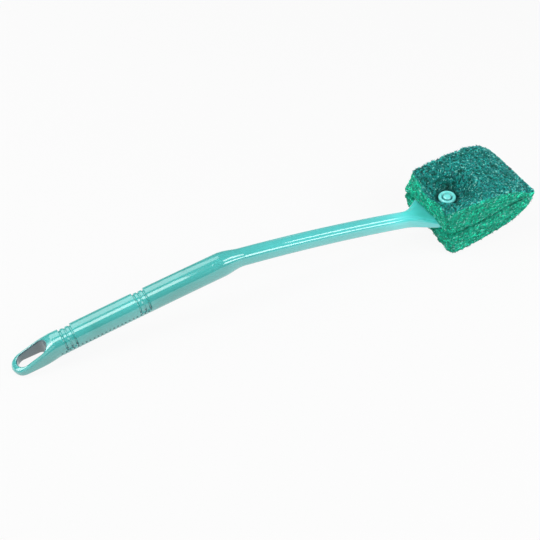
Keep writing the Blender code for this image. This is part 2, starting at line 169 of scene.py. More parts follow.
PAD_MARKS = ("cut", "layer")
SLOPE_SHARE = 0.004

# Lumps of the pad, each with its scale, its seed and its share, and where they fade
LUMPS = ((150.0, 3.0, 0.4), (520.0, 8.0, 0.4), (1100.0, 5.0, 0.5))
LUMP_BLADE_EDGE = (0.0022, 0.0045)
LUMP_BLADE_SIDE = 0.026
LUMP_SNAP_EDGE = (0.0006, 0.0030)

# Loose fibres
FIBRE_SEED = 41
FIBRE_FLOOR = 0.0004
FIBRE_TURNS = 4
LOOSE_SHARE = 0.07
LOOSE_RISE = (0.5, 2.4)
LAID_RISE = (-1.2, 0.8)

# Shading
# Painted shade beside the snap and along the slit between the pad's layers
SNAP_SHADOW_EDGE = (0.0070, 0.0110)
CREASE_EDGE = (0.0004, 0.0015)
CREASE_FROM = (0.0255, 0.0275)
CREASE_END = (0.0480, 0.0560)
CREASE_SHADE = 0.85
# Colour of the painted shade in the handle's slot and groove ends and in the snap's groove
HOLLOW_SHADE_COLOUR = (0.020, 0.095, 0.130)
GLINT_COLOUR = (0.30, 0.90, 0.80)
COOL_CAST = (3.0, 0.75, 1.0)
SIDE_SHARES = (0.1, 0.36, 0.75)  # cool, dark and streaked fibre
FACE_SHARES = (0.5, 0.08, 0.55)
# Where along the handle the colour drifts from the grip's to the blade's: partly the plastic's tint,
# partly painted light
TINT_AND_LIGHT_DRIFT = ((0.20, 0.0), (0.50, 0.36), (0.80, 0.48), (0.90, 1.0))

# Snap
SEAT = 0.0066
CAP_RADIUS = 0.0067
CAP_THICKNESS = 0.0021
STUD_RADIUS = 0.0032
STUD_CROWN = 0.0023
RUNNING_GAP = 0.0003
BORE_RADIUS = STUD_RADIUS + RUNNING_GAP
GROOVE_INNER = (0.0026, 0.0031)
GROOVE_OUTER = (0.0038, 0.0046)
SNAP_SHADE = 0.75


# Settings in the sidebar

def a_length(name, note, default, low, high):
    return FloatProperty(name=name, description=note, default=default, min=low, max=high, unit="LENGTH")


def a_power(name, note, default):
    return FloatProperty(name=name, description=note, default=default, min=0.0, unit="POWER")


def a_triple(name, note, default, kind, **limits):
    return FloatVectorProperty(name=name, description=note, default=default, size=3,
                               subtype=kind, **limits)


def a_colour(name, note, default):
    return a_triple(name, note, default, "COLOR", min=0.0, max=1.0)


class HandleSettings(bpy.types.PropertyGroup):
    grip_width: a_length("Grip width", "Width across the grip", 0.0154, 0.008, 0.03)
    grip_height: a_length("Grip height", "Height of the grip", 0.0160, 0.008, 0.03)
    shaft_width: a_length("Shaft width", "Width across the shaft", 0.0118, 0.006, 0.03)
    shaft_height: a_length("Shaft height", "Height of the shaft", 0.0110, 0.006, 0.03)
    ring_depth: a_length("Ring depth", "Depth of the grip's ring grooves", 0.0013, 0.0, 0.003)
    spine_step: a_length("Spine step", "Height of the spine over the shoulders", 0.0005, 0.0, 0.003)
    rim_radius: a_length("Slot rim", "Rounding of the hanging slot's rims", 0.0013, 0.0003, 0.003)
    grip_colour: a_colour("Grip colour", "Plastic of the grip", (0.038, 0.370, 0.335))
    # Partly painted light: the blade is coloured lighter to make up for the pad's shade on it
    blade_colour_and_light: a_colour("Shaft colour", "Plastic towards the blade", (0.140, 0.940, 0.940))


class PadSettings(bpy.types.PropertyGroup):
    width: a_length("Pad width", "Width across the scouring pad", 0.0586, 0.03, 0.08)
    above: a_length("Upper layer", "Height of the pad above the blade", 0.0230, 0.008, 0.04)
    below: a_length("Lower layer", "Depth of the pad below the blade", 0.0225, 0.008, 0.04)
    edge_radius: a_length("Edge radius", "Rounding of the pad's cut edges", 0.0022, 0.0005, 0.006)
    corner_radius: a_length("Corner radius", "Rounding of the strip's four corners", 0.0042, 0.0005, 0.01)
    roughness_depth: a_length("Unevenness", "Depth of the lumps in the pad's faces", 0.0007, 0.0, 0.003)
    tuft_radius: a_length("Tuft radius", "Reach of the dimple that the snap draws", 0.0235, 0.012, 0.03)
    fibres: IntProperty(name="Fibres", description="Fibres on each face and on the cut sides",
                        default=5200, min=100, max=5300)
    fibre_lift: a_length("Fibre lift", "How far fibres stand off the pad", 0.0007, 0.0, 0.003)
    fibre_stray: a_length("Fibre stray", "How far fibres stand out over the cut edges", 0.0012, 0.0, 0.003)
    fibre_length: a_length("Fibre length", "Length of one loose fibre", 0.0060, 0.001, 0.02)
    fibre_radius: a_length("Fibre radius", "Radius of one fibre", 0.00020, 0.00005, 0.0005)
    face_colour: a_colour("Face colour", "Fibre on the pad's scouring faces", (0.014, 0.580, 0.500))
    side_colour: a_colour("Side colour", "Fibre on the pad's cut sides", (0.014, 1.000, 0.620))


class SnapSettings(bpy.types.PropertyGroup):
    bevel: a_length("Edge radius", "Rounding of the snap's edges", 0.00035, 0.0001, 0.001)
    colour: a_colour("Snap colour", "Plastic of the ring and the stud", (0.240, 1.000, 0.960))


class StageSettings(bpy.types.PropertyGroup):
    camera_place: a_triple("Camera", "Place of the camera in the row frame",
                           (-0.302143, -0.422765, 0.504271), "TRANSLATION")
    camera_turn: a_triple("Camera turn", "Turn of the camera",
                          [radians(turn) for turn in (46.1611, -5.0808, -29.5265)], "EULER")
    lens: FloatProperty(name="Lens", description="Focal length in millimetres on a 36 mm sensor",
                        default=66.770, min=10.0, max=300.0)
    key_power: a_power("Key light", "Power of the overhead softbox", 2.3)
    fill_power: a_power("Front fill", "Power of the soft light beside the camera", 1.5)
    grip_power: a_power("Grip light", "Power of the strip reflected in the grip", 2.3)
    shaft_power: a_power("Shaft light", "Power of the softbox reflected along the shaft", 10.0)
    back_power: a_power("Back fill", "Power of the soft light behind the grip", 8.0)
    world_strength: FloatProperty(name="Fill", description="Strength of the even light from all round",
                                  default=0.20, min=0.0)


# Small sums

def smooth(low, high, value):
    share = min(max((value - low) / (high - low), 0.0), 1.0)
    return share * share * (3.0 - 2.0 * share)


def mix(first, second, share):
    return first + (second - first) * share


# Making and finishing pieces

def above_floor(point):
    """The point, lifted where it would lie under the floor."""
    low = PAD_FLOOR - (LAID_DOWN @ point).z
    if low > 0:
        point.z += low / cos(NOSE_UP)
    return point


def grid_of(bm, columns, rows):
    """The corners of a new grid of so many cells, each with its column and its row."""
    made = bmesh.ops.create_grid(bm, x_segments=columns, y_segments=rows, size=1.0)["verts"]
    return [(vert, round((vert.co.x + 1) / 2 * columns), round((vert.co.y + 1) / 2 * rows))
            for vert in made]


def close_up(bm, reach):
    """Welds seams, caps open ends and turns the faces outwards."""
    bmesh.ops.remove_doubles(bm, verts=bm.verts, dist=reach)
    bmesh.ops.dissolve_degenerate(bm, edges=bm.edges, dist=reach)
    bmesh.ops.holes_fill(bm, edges=[edge for edge in bm.edges if edge.is_boundary], sides=0)
    bmesh.ops.recalc_face_normals(bm, faces=bm.faces)


def new_object(name, data):
    made = bpy.data.objects.new(name, data)
    bpy.context.scene.collection.objects.link(made)
    return made


def new_piece(name, bm):
    """An object that holds a finished bmesh."""
    mesh = bpy.data.meshes.new(name)
    bm.to_mesh(mesh)
    bm.free()
    return new_object(name, mesh)


def cut_away(piece, cutters):
    """The piece's mesh with the cutters taken out of it; the cutters are removed."""
    for cutter in cutters:
        boolean = piece.modifiers.new(cutter.name, "BOOLEAN")
        boolean.operation = "DIFFERENCE"
        boolean.solver = "EXACT"
        boolean.object = cutter
    bpy.context.view_layer.update()
    graph = bpy.context.evaluated_depsgraph_get()
    mesh = bpy.data.meshes.new_from_object(piece.evaluated_get(graph))
    piece.modifiers.clear()
    piece.data = mesh
    for cutter in cutters:
        bpy.data.objects.remove(cutter, do_unlink=True)
    return piece


def mark(piece, name, share_of):
    """Writes a share from 0 to 1 on every vertex for the piece's material."""
    marks = piece.data.attributes.new(name, "FLOAT", "POINT")
    marks.data.foreach_set("value", [share_of(vert.co) for vert in piece.data.vertices])


def finish_piece(piece, finish, body, nodes=(), sharp=None):
    """Lays a piece down, gives it its material and fixes it to its body."""
    piece.data.transform(LAID_DOWN)
    piece.data.materials.clear()
    piece.data.materials.append(finish)
    piece.data.shade_smooth()
    if sharp is not None:
        piece.data.set_sharp_from_angle(angle=sharp)
    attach(piece, body)
    if nodes:
        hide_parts(*nodes)


# Shader maths

class Value:
    """A node's output that Python arithmetic adds Math nodes to."""

    def __init__(self, finish, socket):
        self.finish = finish
        self.socket = socket

    def maths(self, operation, first, second):
        return self.finish.node("ShaderNodeMath", {"operation": operation}, {0: first, 1: second})

    def __add__(self, other):
        return self.maths("ADD", self, other)

    __radd__ = __add__

    def __sub__(self, other):
        return self.maths("SUBTRACT", self, other)

    def __rsub__(self, other):
        return self.maths("SUBTRACT", other, self)

    def __mul__(self, other):
        return self.maths("MULTIPLY", self, other)

    __rmul__ = __mul__


class Finish:
    """One node material built up from expressions."""

    def __init__(self, name):
        self.material = bpy.data.materials.new(name)
        self.material.use_nodes = True
        self.tree = self.material.node_tree
        self.tree.nodes.clear()

    def node(self, kind, settings=None, inputs=None, output=0):
        """Adds a node: its settings first, then the values or links of its sockets."""
        made = self.tree.nodes.new(kind)
        for name, value in (settings or {}).items():
            setattr(made, name, value)
        for name, value in (inputs or {}).items():
            if isinstance(value, Value):
                self.tree.links.new(value.socket, made.inputs[name])
            else:
                made.inputs[name].default_value = value
        return Value(self, made.outputs[output]) if made.outputs else None

    def place(self, scale=(1.0, 1.0, 1.0)):
        """Object coordinates, stretched by scale."""
        spot = self.node("ShaderNodeTexCoord", output="Object")
        return self.node("ShaderNodeMapping", inputs={"Vector": spot, "Scale": scale})

    def part(self, vector, axis):
        """One component of a vector."""
        return self.node("ShaderNodeSeparateXYZ", inputs={0: vector}, output=axis)

    def attribute(self, name):
        """A share that mark wrote on the piece."""
        return self.node("ShaderNodeAttribute", {"attribute_name": name}, output="Fac")

    def grain(self, where, scale, detail=2.0, roughness=0.5):
        return self.node("ShaderNodeTexNoise", inputs={
            "Vector": where, "Scale": scale, "Detail": detail, "Roughness": roughness})

    def ramp(self, value, *stops):
        """Greys by value; each stop has its place and its shade."""
        made = self.node("ShaderNodeValToRGB", inputs={"Fac": value})
        elements = made.socket.node.color_ramp.elements
        while len(elements) < len(stops):
            elements.new(1.0)
        for element, (place, shade) in zip(elements, stops):
            element.position = place
            element.color = (shade, shade, shade, 1.0)
        return made

    def blend(self, share, first, second):
        """A colour between two colours."""
        return self.node("ShaderNodeMix", {"data_type": "RGBA"}, {0: share, 6: first, 7: second}, output=2)

    def bump(self, height, depth, strength):
        return self.node("ShaderNodeBump", inputs={
            "Height": height, "Distance": depth, "Strength": strength})

    def principled(self, **inputs):
        """Closes the material; its shader's sockets are named in small letters."""
        named = {}
        for name, value in inputs.items():
            named[name.replace("_", " ").title().replace("Ior", "IOR")] = value
        return self.output(self.node("ShaderNodeBsdfPrincipled", inputs=named))

    def output(self, shader):
        self.node("ShaderNodeOutputMaterial", inputs={"Surface": shader})
        return self.material


def solid(colour, share=1.0):
    """A colour as a socket takes it, made lighter or darker."""
    return (*(channel * share for channel in colour), 1.0)


def plastic_finish(name, far_colour, near_colour, roughness):
    """Glossy moulded plastic whose tint drifts along the piece, partly as painted light, with painted
    shade in its hollows.
    """
    finish = Finish(name)
    where = finish.place()
    along = finish.part(where, "X")
    # Lighter towards the blade: partly the plastic's own tint, partly painted light for the light that the
    # pad keeps off the blade
    drift = finish.ramp(along * 4.0 + 0.5, *TINT_AND_LIGHT_DRIFT)
    cloud = finish.grain(where, scale=45.0)
    swirl = finish.grain(finish.place((0.25, 1.0, 1.0)), scale=260.0, detail=3.0)
    tint = finish.blend(drift, solid(far_colour), solid(near_colour))
    tint = finish.blend(cloud * 0.30, tint, solid(near_colour, 1.12))
    tint = finish.blend((swirl - 0.45) * 0.35, tint, solid(far_colour, 0.82))
    # Painted shade: the slot and the groove ends darkened where little light reaches
    tint = finish.blend(finish.attribute("hollow") * 0.9, tint, solid(HOLLOW_SHADE_COLOUR))
    pores = finish.grain(where, scale=2600.0)
    waves = finish.grain(finish.place((0.3, 1.0, 1.0)), scale=120.0, detail=1.0)
    return finish.principled(
        base_color=tint,
        roughness=roughness + swirl * 0.08,
        coat_weight=1.0,
        coat_roughness=0.06,
        coat_ior=1.8,
        ior=1.6,
        normal=finish.bump(pores * 0.25 + waves, 0.00006, 0.5),
    )


def fibre_finish(name, colour, cool_share, dark_share, streak_share):
    """Resin-coated fibre: each strand a little lighter or darker, some of it shining."""
    finish = Finish(name)
    where = finish.place()
    strands = finish.ramp(finish.grain(where, scale=500.0, detail=1.0), (0.42, 0.0), (0.58, 1.0))
    glints = finish.ramp(finish.grain(where, scale=560.0, detail=0.0), (0.62, 0.0), (0.70, 1.0))
    clouds = finish.grain(where, scale=60.0)
    streaks = finish.grain(finish.place((0.12, 0.3, 1.0)), scale=620.0)
    tint = finish.blend(strands, solid(colour, dark_share), solid(colour, 1.35))
    tint = finish.blend(finish.ramp(streaks, (0.40, streak_share), (0.60, 0.0)), tint, solid(colour, 0.25))
    cool = solid(tuple(channel * cast for channel, cast in zip(colour, COOL_CAST)))
    tint = finish.blend(clouds * cool_share, tint, cool)
    tint = finish.blend(glints * 0.9, tint, solid(GLINT_COLOUR))
    # Painted shade beside the snap and in the slit between the layers
    tint = finish.blend(finish.attribute("pressed") * 0.85, tint, solid(colour, 0.05))
    return finish.principled(
        base_color=tint,
        roughness=0.34,
        specular_ior_level=0.4,
        normal=finish.bump(strands, 0.0002, 0.5),
    )


def snap_and_slit_shade_share(point):
    """1 beside the snap, where the fibre is pressed, and in the slit between the layers: painted shade
    that darkens the fibre there.
    """
    snap = 1 - smooth(*SNAP_SHADOW_EDGE, hypot(point.x, point.y))
    slit = 1 - smooth(*CREASE_EDGE, abs(point.z - fold_height(point.x)))
    slit *= smooth(*CREASE_FROM, abs(point.y)) * (1 - smooth(*CREASE_END, point.x))
    return max(snap, slit * CREASE_SHADE)


def core_finish(name, face_colour, side_colour):
    """The body of the pad under its loose fibres, painted dark as the shade between them: darker faces and
    greener cut sides in layers.
    """
    finish = Finish(name)
    where = finish.place()
    cut = finish.attribute("cut")
    layer = finish.attribute("layer")
    fine = finish.grain(where, scale=1500.0, detail=3.0, roughness=0.7)
    holes = finish.grain(where, scale=400.0, detail=3.0, roughness=0.6)
    pits = finish.ramp(holes, (0.40, 0.0), (0.60, 1.0))
    waves = finish.grain(where, scale=90.0)
    strata = finish.node("ShaderNodeTexNoise", {"noise_dimensions": "1D"}, {
        "W": layer * 9.0 + waves * 1.6, "Scale": 1.0, "Detail": 2.0})
    lines = finish.ramp(strata, (0.35, 0.0), (0.6, 1.0))
    # Painted shade: the body is far darker than its fibres, standing for the shadowed gaps between them
    face = finish.blend(pits, solid(face_colour, 0.10), solid(face_colour, 0.55))
    side = finish.blend(pits, solid(side_colour, 0.26), solid(side_colour, 0.95))
    side = finish.blend(lines * 0.6, side, solid(side_colour, 0.3))
    tint = finish.blend(cut, face, side)
    tint = finish.blend(fine * 0.35, tint, solid(side_colour, 0.15))
    # Painted shade beside the snap and in the slit between the layers
    tint = finish.blend(finish.attribute("pressed") * 0.85, tint, solid(face_colour, 0.04))
    return finish.principled(
        base_color=tint,
        roughness=0.75,
        specular_ior_level=0.25,
        normal=finish.bump(fine + pits, 0.0008, 0.9),
    )


# Handle

def centre_raw(x):
    """Height of the handle's centre line before its corners are blended."""
    if x <= BEND_X:
        share = (x - TIP_X) / GRIP_RUN
        return SHAFT_RISE - GRIP_DROP * (1 - share) + 4 * GRIP_ARCH * share * (1 - share)
    if x <= -NECK_RUN:
        share = (x - BEND_X) / SHAFT_RUN
        return mix(SHAFT_RISE, NECK_RISE, share) + 4 * SHAFT_ARCH * share * (1 - share)
    return 0.0


def centre(x):
    """The same with its two corners rounded."""
    for corner, reach in ((BEND_X, BEND_BLEND), (-NECK_RUN, NECK_BLEND)):
        if abs(x - corner) < reach:
            share = (x - corner + reach) / (2 * reach)
            start, middle, end = (centre_raw(corner + step * reach) for step in (-1, 0, 1))
            return mix(mix(start, middle, share), mix(middle, end, share), share)
    return centre_raw(x)


def upright(x):
    slope = (centre(x + SLOPE_STEP) - centre(x - SLOPE_STEP)) / (2 * SLOPE_STEP)
    return Vector((-slope, 0.0, 1.0)).normalized()


def flare_share(x):
    """0 on the shaft to 1 where the blade has its full width."""
    return smooth(-FLARE_BACK / 2 - FLARE_RUN, -FLARE_BACK / 2, x)


def shaft_size(x):
    """Half width, half height, corner power and rise of the grip, shaft and blade at x."""
    sizes = bpy.context.scene.scrubber_handle
    taper = smooth(BEND_X - TAPER_RUN / 2, BEND_X + TAPER_RUN / 2, x)
    flare = flare_share(x)
    width = mix(mix(sizes.grip_width, sizes.shaft_width, taper), BLADE_WIDTH, flare) / 2
    height = mix(mix(sizes.grip_height, sizes.shaft_height, taper), BLADE_THICKNESS, flare) / 2
    power = mix(mix(GRIP_POWER, SHAFT_POWER, taper), BLADE_POWER, flare)
    corner = x - (BLADE_REACH - BLADE_CORNER)
    if corner > 0:
        width -= BLADE_CORNER - sqrt(max(BLADE_CORNER ** 2 - corner ** 2, 0.0))
    return width, height, power, 0.0


def quarter(radius, depth):
    """How far a rounded end falls back at a depth from its tip."""
    short = min(max(radius - depth, 0.0), radius)
    return radius - sqrt(radius ** 2 - short ** 2)


def eye_size(x):
    """The same for the hanging eye, whose top falls to the tip."""
    sizes = bpy.context.scene.scrubber_handle
    grip_top = sizes.grip_height / 2
    depth = x - TIP_X
    top = EYE_THICKNESS - grip_top + (x - SLOT_X) * tan(EYE_SLOPE)
    top = min(top, grip_top) - quarter(EYE_TOP_EDGE, depth)
    lift = EYE_LIFT * (1 - smooth(TIP_X, TIP_X + SLOT_LENGTH, x))
    bottom = lift - grip_top + quarter(EYE_EDGE, depth)
    share = smooth(TIP_X + SLOT_LENGTH, TIP_X + FIRST_RIB_BACK, x)
    width = mix(EYE_WIDTH, sizes.grip_width, share) / 2
    if depth < EYE_WIDTH / 2:
        width = sqrt((EYE_WIDTH / 2) ** 2 - (EYE_WIDTH / 2 - depth) ** 2)
    return width, (top - bottom) / 2, mix(EYE_POWER, GRIP_POWER, share), (top + bottom) / 2


def section_size(x):
    return eye_size(x) if x < TIP_X + FIRST_RIB_BACK else shaft_size(x)


def row_of_grooves(x, first, pitch, count, width):
    """0 to 1 where a row of soft-edged grooves is cut."""
    turn = min(max(round((x - first) / pitch), 0), count - 1)
    off = abs(x - first - turn * pitch) / (width / 2)
    return 1 - smooth(GROOVE_FLOOR, 1.0, off)


def ring_depth(x):
    """Depth of the ring grooves at x, with the ridges between them a little low."""
    depth = 0.0
    for start in RING_STARTS:
        first = TIP_X + start
        last = first + (RING_COUNT - 1) * RING_PITCH
        if first - RING_GROOVE < x < last + RING_GROOVE:
            cut = row_of_grooves(x, first, RING_PITCH, RING_COUNT, RING_GROOVE)
            low = RIDGE_DROP if first < x < last else 0.0
            depth = max(depth, mix(low, bpy.context.scene.scrubber_handle.ring_depth, cut))
    return depth


def spine_drop(x, width, across):
    """How far the shoulders lie below the spine: a step, a ledge that climbs, and the side."""
    sizes = bpy.context.scene.scrubber_handle
    flare = flare_share(x)
    share = 1 - (width - abs(across)) / (sizes.shaft_width / 2)
    start, middle, end = LEDGE_EDGE
    climb = LEDGE_RISE * min(max((share - start) / (middle - start), 0.0), 1.0)
    drop = (smooth(*SPINE_EDGE, share) - climb) * (1 - smooth(middle, end, share))
    grown = smooth(BEND_X + SPINE_START, BEND_X + SPINE_START + SPINE_GROWTH, x)
    fade = flare if across > 0 else smooth(-PAD_BACK, 0.0, x)
    return sizes.spine_step * drop * grown * (1 - fade)


def bend_bar(x, share):
    """Height of the two short bars moulded on the near shoulder of the bend."""
    start, end = BEND_X + BAR_START, BEND_X + BAR_END
    ends = smooth(start, start + BAR_ENDS[0], x) * (1 - smooth(end - BAR_ENDS[1], end, x))
    for (inner, low), (outer, high) in zip(BAR_PROFILE, BAR_PROFILE[1:]):
        if outer < share < inner:
            return ends * mix(low, high, (share - inner) / (outer - inner))
    return 0.0


def rib_cut(x, share):
    """0 to 1 where a rib's notch is cut, share being the height on the section from 1 down to -1."""
    cut = row_of_grooves(x, TIP_X + FIRST_RIB_BACK, RIB_PITCH, RIB_COUNT, RIB_GROOVE)
    return cut * (smooth(*RIB_TOP, -share) - RIB_FADE * smooth(*RIB_END, -share))


def handle_point(x, turn):
    """A point of the handle's skin: turn 0 to 1 goes once round the section at x."""
    width, height, power, rise = section_size(x)
    angle = 2 * pi * turn
    across = copysign(abs(cos(angle)) ** (2 / power), cos(angle))
    up = copysign(abs(sin(angle)) ** (2 / power), sin(angle))
    cut = (ring_depth(x) * smooth(*RING_END, up) + RIB_DEPTH * rib_cut(x, up)) / height
    y = across * width * (1 - cut)
    z = up * height * (1 - cut)
    if up > 0:
        z += bend_bar(x, across) - spine_drop(x, width, y)
    return Vector((x, y, centre(x))) + upright(x) * (z + rise)


def hollow_shade_share(point):
    """1 in the hanging slot and in the ends of the grooves, where painted shade darkens the plastic as
    little light reaches there.
    """
    along = max(abs(point.x - SLOT_X) - SLOT_LENGTH / 2 + SLOT_WIDTH / 2, 0.0)
    if hypot(along, point.y) < SLOT_WIDTH / 2 + SLOT_SHADE:
        return 1.0
    height = section_size(point.x)[1]
    share = (point - Vector((point.x, 0.0, centre(point.x)))).dot(upright(point.x)) / height
    ring = ring_depth(point.x) / bpy.context.scene.scrubber_handle.ring_depth
    end = smooth(RING_END[0] - 0.1, RING_END[0], share) - smooth(*RING_SHADE, share)
    return max(ring ** 3 * end, rib_cut(point.x, share)) * GROOVE_SHADE


def handle_stations():
    """Where the handle's sections stand: close together where it is detailed."""
    places = [TIP_X + EYE_WIDTH / 2 * (1 - cos(radians(degrees))) for degrees in range(4, 91, 4)]
    corner = BLADE_REACH - BLADE_CORNER
    stretches = (
        (TIP_X + FIRST_RIB_BACK - RIB_GROOVE, 0.0006),
        (TIP_X + FIRST_RIB_BACK + RIB_COUNT * RIB_PITCH, 0.00028),
        (BEND_X - TAPER_RUN, 0.0020),
        (BEND_X + TAPER_RUN, 0.0004),
        (-FLARE_RUN - FLARE_BACK, 0.0016),
        (-FLARE_BACK / 2, 0.0007),
        (corner, 0.0060),
    )
    for high, step in stretches:
        low = places[-1]
        count = max(1, ceil((high - low) / step))
        places += [mix(low, high, turn / count) for turn in range(1, count + 1)]
    places += [corner + BLADE_CORNER * sin(radians(degrees)) for degrees in range(8, 89, 8)]
    return places


def slot_cutter(rim):
    """The slot as a spool that opens out over both faces of the eye."""
    straight = SLOT_LENGTH / 2 - SLOT_WIDTH / 2
    curve = [(rim * (1 - sin(radians(a))), rim * (1 - cos(radians(a)))) for a in range(15, 91, 15)]
    curve.insert(0, (rim * SLOT_OVERRUN, -rim))
    levels = [(1, *level) for level in curve] + [(-1, *level) for level in reversed(curve)]
    bm = bmesh.new()
    for vert, column, row in grid_of(bm, SLOT_SIDES, len(levels) - 1):
        side, out, deep = levels[row]
        angle = 2 * pi * column / SLOT_SIDES
        radius = SLOT_WIDTH / 2 + out
        x = SLOT_X + copysign(straight, cos(angle)) + radius * cos(angle)
        y = radius * sin(angle)
        width, height, power, rise = eye_size(max(x, TIP_X + EYE_INSET))
        inside = max(1 - min(abs(y) / width, 1.0) ** power, 0.0) ** (1 / power)
        vert.co = x, y, centre(x) + rise + side * (height * inside - deep)
    close_up(bm, WELD)
    return new_piece("slot_cutter", bm)


def post_cutter():
    """A bore for the stud's post, through the blade and the pressed pad."""
    bm = bmesh.new()
    bmesh.ops.create_cone(bm, cap_ends=True, segments=64, radius1=BORE_RADIUS,
                          radius2=BORE_RADIUS, depth=3 * SEAT)
    return new_piece("post_cutter", bm)


class SCRUBBER_OT_handle(bpy.types.Operator):
    """Model the handle: eye, ringed grip, spined shaft and blade in one moulding"""
    bl_idname = "scrubber.handle"
    bl_label = "Handle"

    def execute(self, context):
        sizes = context.scene.scrubber_handle
        places = handle_stations()
        bm = bmesh.new()
        for vert, column, row in grid_of(bm, len(places) - 1, HANDLE_SIDES):
            vert.co = handle_point(places[column], row % HANDLE_SIDES / HANDLE_SIDES)
        close_up(bm, WELD)
        handle = new_piece("handle_moulding", bm)
        cut_away(handle, [slot_cutter(sizes.rim_radius), post_cutter()])
        # Marks the painted shade in the slot and the groove ends
        mark(handle, "hollow", hollow_shade_share)
        finish = plastic_finish("teal_moulded_plastic", sizes.grip_colour, sizes.blade_colour_and_light, 0.13)
        finish_piece(handle, finish, "brush", ["handle"], radians(32))
        return {"FINISHED"}


# Scouring pad

def outer_curve():
    """The strip's outer face from the upper free end to the lower: X, Z and height over the fold."""
    sizes = bpy.context.scene.scrubber_pad
    span = PAD_REACH + PAD_BACK
    points = []
    for side, full, power, root in ((1, sizes.above, UPPER_POWER, NOSE_ROOT),
                                    (-1, sizes.below, LOWER_POWER, LOWER_ROOT)):
        half = []
        for turn in range(241):
            share = sin(pi / 2 * turn / 240)
            height = full * max(1 - share ** power, 0.0) ** root
            x = -PAD_BACK + span * share
            climb = FOLD_RISE * smooth(BLADE_REACH, PAD_REACH, x)
            low = max(1 - height / NOSE_CLIMB_REACH, 0.0)
            half.append((x, side * height + climb * low, side * height))
        points += half if side > 0 else half[-2::-1]
    return points


def inner_curve():
    """The strip's inner face, along the blade and round its end."""
    gap = BLADE_THICKNESS / 2 + BLADE_GAP
    turn_x = BLADE_REACH + BLADE_GAP
    points = [(mix(-PAD_BACK, turn_x, turn / 120), gap) for turn in range(121)]
    points += [(turn_x + gap * sin(pi * turn / 30), gap * cos(pi * turn / 30)) for turn in range(1, 30)]
    points += [(mix(turn_x, -PAD_BACK, turn / 120), -gap) for turn in range(121)]
    return points


def along_curve(points, count):
    """Points at even steps along a line of points."""
    lengths = [0.0]
    for first, second in zip(points, points[1:]):
        lengths.append(lengths[-1] + dist(first, second))
    total = lengths[-1]
    made = []
    here = 0
    for turn in range(count + 1):
        goal = total * (turn / count)
        while here < len(lengths) - 2 and lengths[here + 1] < goal:
            here += 1
        reach = lengths[here + 1] - lengths[here]
        share = min(max((goal - lengths[here]) / reach if reach else 0.0, 0.0), 1.0)
        made.append(tuple(mix(a, b, share) for a, b in zip(points[here], points[here + 1])))
    return made


def fold_height(x):
    return FOLD_RISE * smooth(0.0, PAD_REACH, x)


